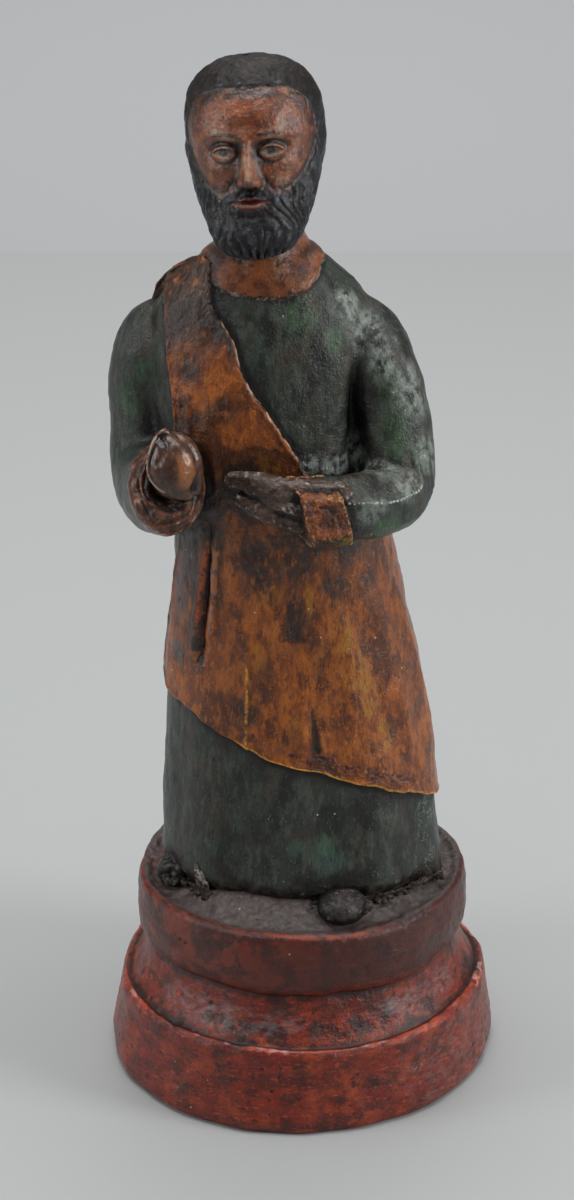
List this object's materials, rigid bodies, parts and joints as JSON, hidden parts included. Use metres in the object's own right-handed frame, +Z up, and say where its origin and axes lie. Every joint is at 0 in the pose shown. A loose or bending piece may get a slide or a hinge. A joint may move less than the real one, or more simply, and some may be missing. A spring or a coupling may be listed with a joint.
{
  "type": "terracotta saint statue",
  "caption": "Hand-modelled painted terracotta figure of a bearded saint in tunic and mantle, on a round moulded plinth; stands on its flat underside.",
  "frame": {"origin": "centre of the flat underside of the plinth, on the surface that the statue stands on", "axes": "+Z up, towards the crown of the head; -Y the way the figure faces; +X towards the figure's own left"},
  "size_m": [0.1202, 0.1224, 0.3201],
  "materials": {
    "painted_terracotta": "fired clay under aged oil paint and varnish, worn and dusty",
    "red_paint": "satin oxide-red paint on clay, blackened and rubbed at the edges",
    "green_paint": "satin dark green paint on clay, mottled and dusty",
    "ochre_paint": "glossy ochre-brown paint on clay, streaked and rubbed at the edges",
    "flesh_paint": "satin brown flesh paint on clay, mottled under old varnish",
    "black_paint": "glossy blue-black paint on clay"
  },
  "bodies": {
    "root": {"saint_statue": "painted_terracotta"}
  },
  "joints": []
}
